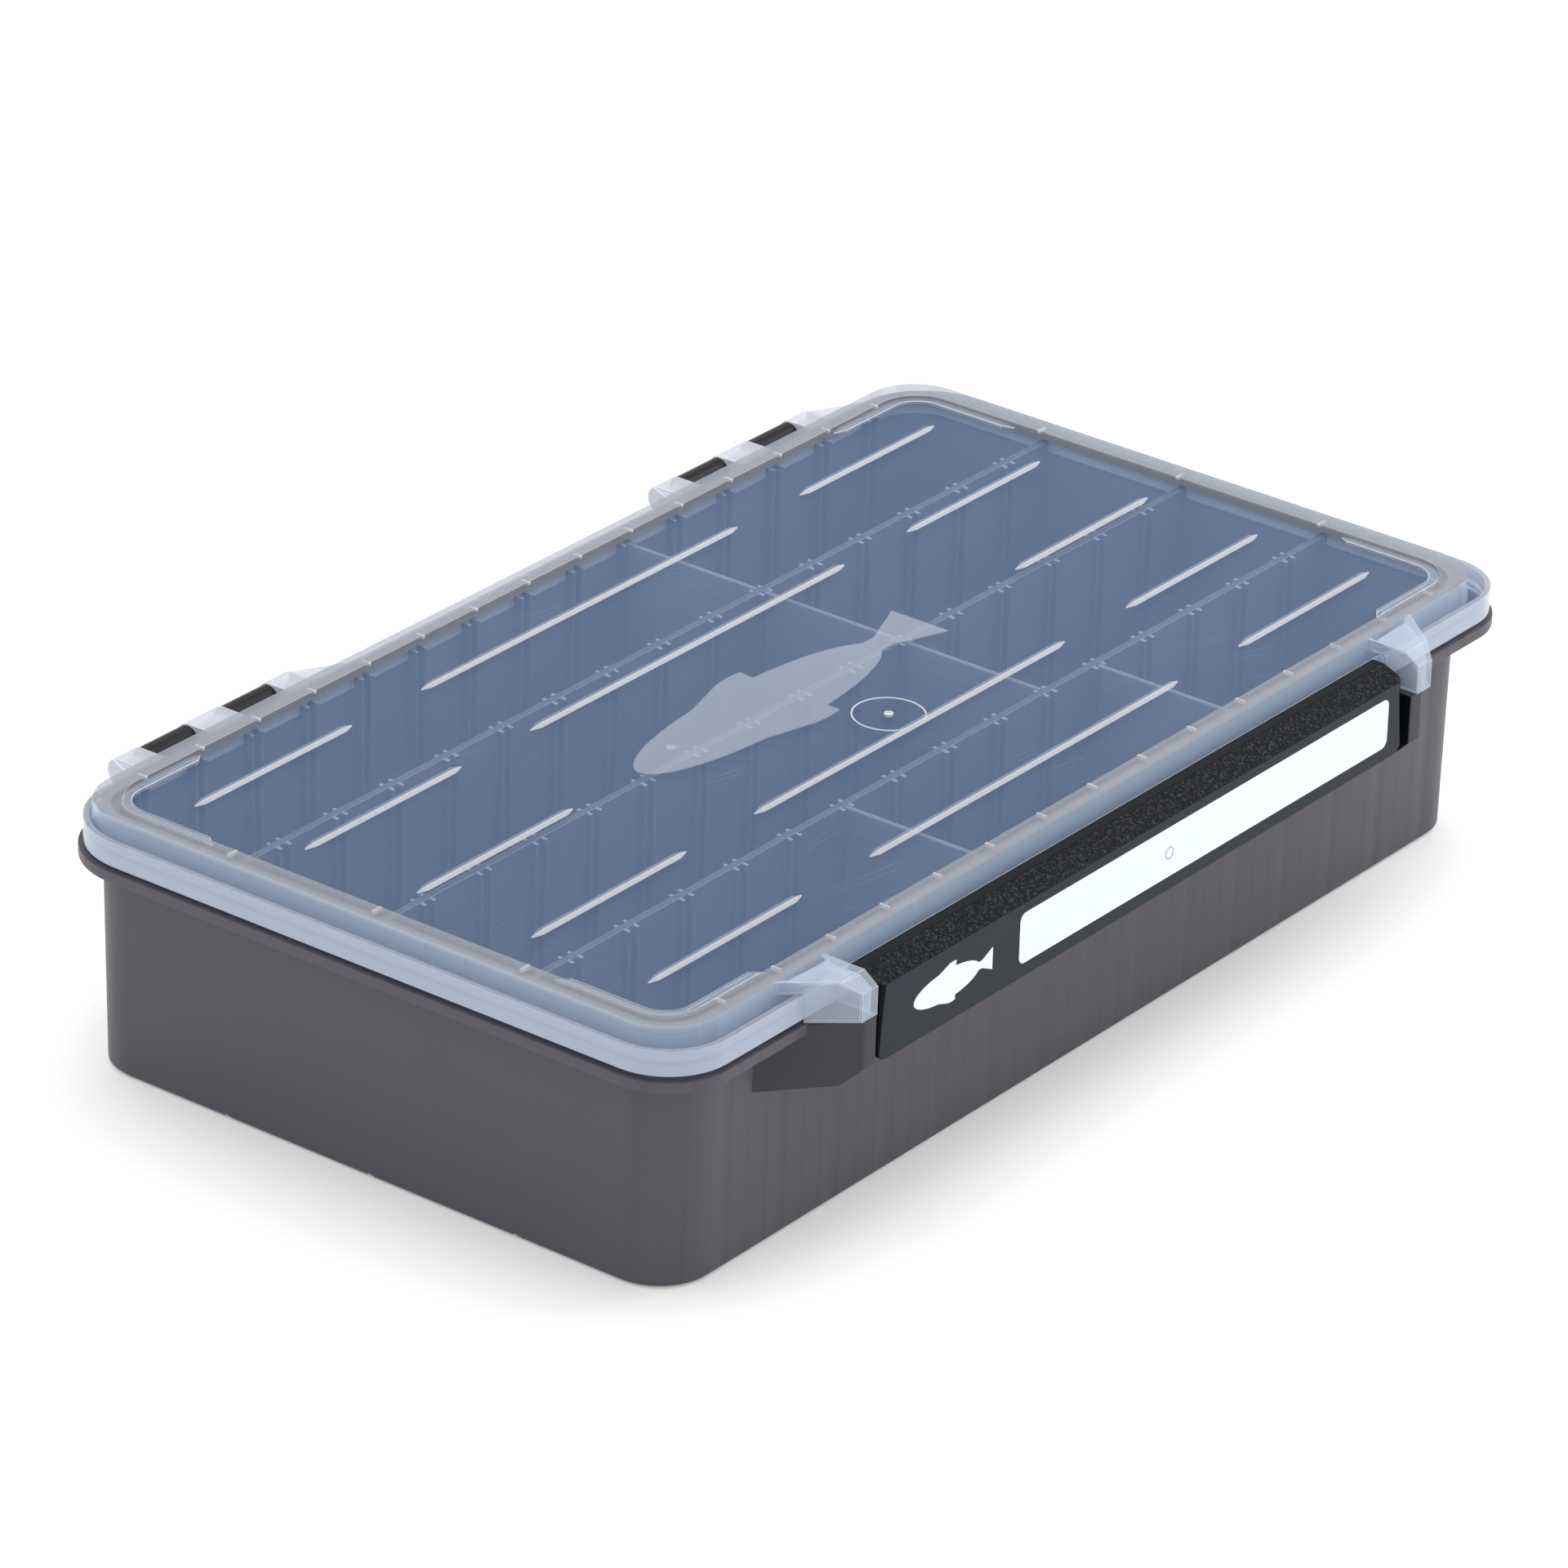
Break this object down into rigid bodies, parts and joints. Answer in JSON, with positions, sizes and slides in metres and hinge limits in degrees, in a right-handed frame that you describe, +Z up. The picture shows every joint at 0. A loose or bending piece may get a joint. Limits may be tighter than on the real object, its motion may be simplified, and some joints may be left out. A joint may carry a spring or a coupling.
{
  "type": "fishing tackle box",
  "caption": "Deep rectangular tray with lengthwise channels, slotted removable dividers, a hinged clear lid and a full-width front latch.",
  "frame": {"origin": "centre of the flat underside of the tray, on the surface the box stands on", "axes": "+X along the length, +Y towards the hinges, -Y towards the latch, +Z up"},
  "size_m": [0.357, 0.2224, 0.0731],
  "materials": {
    "base_grey": "satin warm grey polypropylene",
    "lid_clear": "translucent cool clear polypropylene",
    "seal_white": "soft pale elastomer",
    "latch_black": "black plastic, smooth face and pebbled grip band",
    "label_white": "smooth white write-on panel",
    "hinge_black": "brown-black plastic",
    "pin_clear": "pale clear plastic rod",
    "divider_grey": "satin blue-grey plastic"
  },
  "bodies": {
    "base": {"base": "base_grey", "divider_1": "divider_grey", "divider_2": "divider_grey", "divider_3": "divider_grey", "divider_4": "divider_grey", "divider_5": "divider_grey", "hinge_hook_1": "hinge_black", "hinge_hook_2": "hinge_black", "hinge_hook_3": "hinge_black", "hinge_hook_4": "hinge_black"},
    "lid": {"lid": "lid_clear", "lid_seal": "seal_white", "hinge_pin_left": "pin_clear", "hinge_pin_right": "pin_clear"},
    "latch": {"latch": "latch_black", "label": "label_white", "latch_pin_left": "latch_black", "latch_pin_right": "latch_black"}
  },
  "joints": [
    {"name": "lid_hinge", "type": "hinge", "parent": "base", "child": "lid", "pos_m": [0, 0.1062, 0.0656], "axis": [-1, 0, 0], "range_deg": [0, 180]},
    {"name": "latch_pivot", "type": "hinge", "parent": "base", "child": "latch", "pos_m": [0, -0.1055, 0.0505], "axis": [1, 0, 0], "range_deg": [0, 95]}
  ]
}
